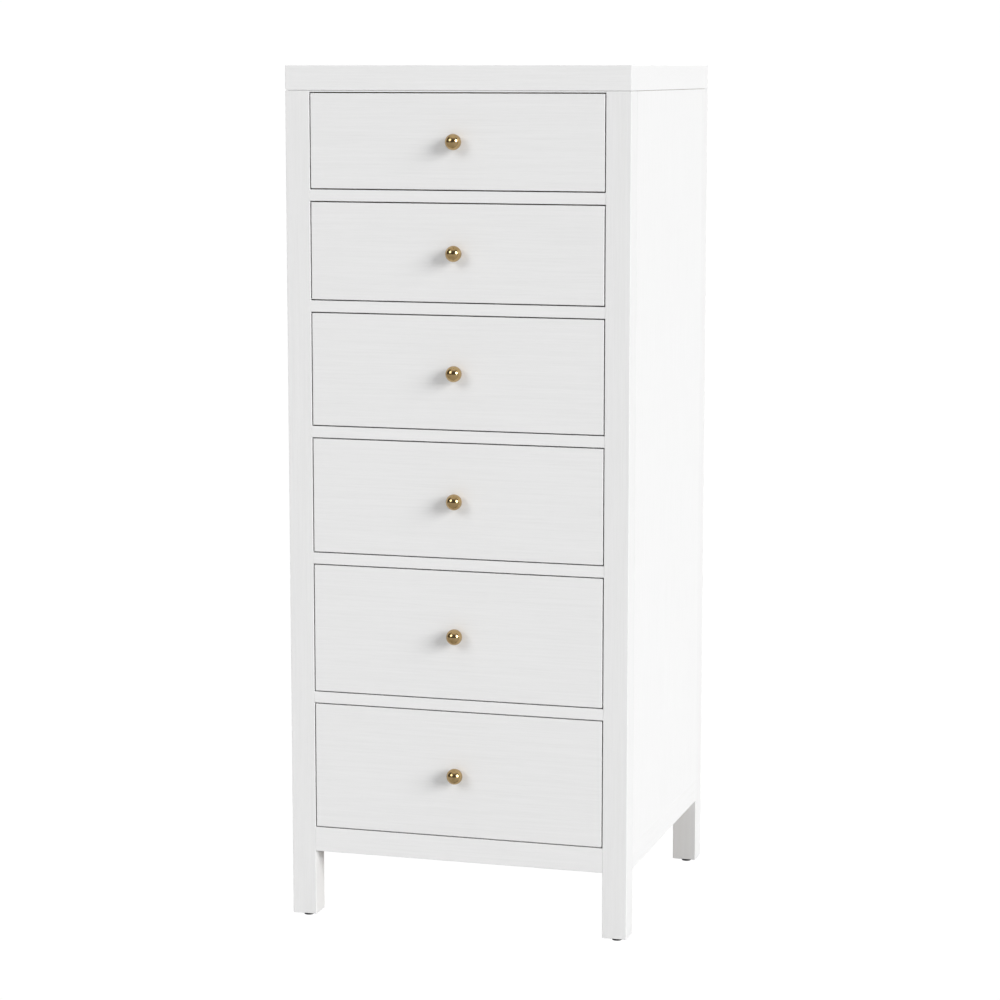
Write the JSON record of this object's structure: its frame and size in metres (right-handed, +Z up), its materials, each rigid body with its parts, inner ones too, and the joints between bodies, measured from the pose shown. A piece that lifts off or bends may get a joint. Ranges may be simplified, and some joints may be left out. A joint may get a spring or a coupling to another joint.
{
  "type": "tall chest of drawers",
  "caption": "Tall, narrow post-and-panel chest with a column of inset drawers on metal slides, each with a round ball knob, for storing clothes.",
  "frame": {"origin": "bottom centre of the overall box, on the floor; the box takes in the knobs", "axes": "+Z up, the drawers open along -Y, +X to the right seen from the front"},
  "size_m": [0.5588, 0.5626, 1.3744],
  "materials": {
    "white_paint": "opaque white paint, satin, with a faint straight grain",
    "plain_wood": "unpainted sanded softwood",
    "drawer_wood": "clear-finished pale plywood",
    "backing_board": "smooth hardboard",
    "zinc_steel": "zinc plated",
    "polished_brass": "polished brass with an aged, slightly bronze tone",
    "black_plastic": "matt black"
  },
  "bodies": {
    "case": {"top_panel": "white_paint", "top_front_rail": "white_paint", "top_rear_rail": "plain_wood", "post_front_left": "white_paint", "post_front_right": "white_paint", "post_rear_left": "white_paint", "post_rear_right": "white_paint", "side_panel_left": "white_paint", "side_panel_right": "white_paint", "side_rail_left": "white_paint", "side_rail_right": "white_paint", "front_rail_1": "white_paint", "front_rail_2": "white_paint", "front_rail_3": "white_paint", "front_rail_4": "white_paint", "front_rail_5": "white_paint", "front_apron": "white_paint", "rear_apron": "white_paint", "back_panel": "backing_board", "slide_cleats": "plain_wood", "case_slides": "zinc_steel", "top_screws": "zinc_steel", "back_screws": "zinc_steel", "glides": "black_plastic"},
    "drawer_1": {"drawer_1_front": "white_paint", "drawer_1_sides": "drawer_wood", "drawer_1_back": "drawer_wood", "drawer_1_bottom": "drawer_wood", "drawer_1_slides": "zinc_steel", "drawer_1_knob": "polished_brass"},
    "drawer_2": {"drawer_2_front": "white_paint", "drawer_2_sides": "drawer_wood", "drawer_2_back": "drawer_wood", "drawer_2_bottom": "drawer_wood", "drawer_2_slides": "zinc_steel", "drawer_2_knob": "polished_brass"},
    "drawer_3": {"drawer_3_front": "white_paint", "drawer_3_sides": "drawer_wood", "drawer_3_back": "drawer_wood", "drawer_3_bottom": "drawer_wood", "drawer_3_slides": "zinc_steel", "drawer_3_knob": "polished_brass"},
    "drawer_4": {"drawer_4_front": "white_paint", "drawer_4_sides": "drawer_wood", "drawer_4_back": "drawer_wood", "drawer_4_bottom": "drawer_wood", "drawer_4_slides": "zinc_steel", "drawer_4_knob": "polished_brass"},
    "drawer_5": {"drawer_5_front": "white_paint", "drawer_5_sides": "drawer_wood", "drawer_5_back": "drawer_wood", "drawer_5_bottom": "drawer_wood", "drawer_5_slides": "zinc_steel", "drawer_5_knob": "polished_brass"},
    "drawer_6": {"drawer_6_front": "white_paint", "drawer_6_sides": "drawer_wood", "drawer_6_back": "drawer_wood", "drawer_6_bottom": "drawer_wood", "drawer_6_slides": "zinc_steel", "drawer_6_knob": "polished_brass"}
  },
  "joints": [
    {"name": "drawer_1_slide", "type": "slide", "parent": "case", "child": "drawer_1", "axis": [0, -1, 0], "range_m": [0, 0.34]},
    {"name": "drawer_2_slide", "type": "slide", "parent": "case", "child": "drawer_2", "axis": [0, -1, 0], "range_m": [0, 0.34]},
    {"name": "drawer_3_slide", "type": "slide", "parent": "case", "child": "drawer_3", "axis": [0, -1, 0], "range_m": [0, 0.34]},
    {"name": "drawer_4_slide", "type": "slide", "parent": "case", "child": "drawer_4", "axis": [0, -1, 0], "range_m": [0, 0.34]},
    {"name": "drawer_5_slide", "type": "slide", "parent": "case", "child": "drawer_5", "axis": [0, -1, 0], "range_m": [0, 0.34]},
    {"name": "drawer_6_slide", "type": "slide", "parent": "case", "child": "drawer_6", "axis": [0, -1, 0], "range_m": [0, 0.34]}
  ]
}
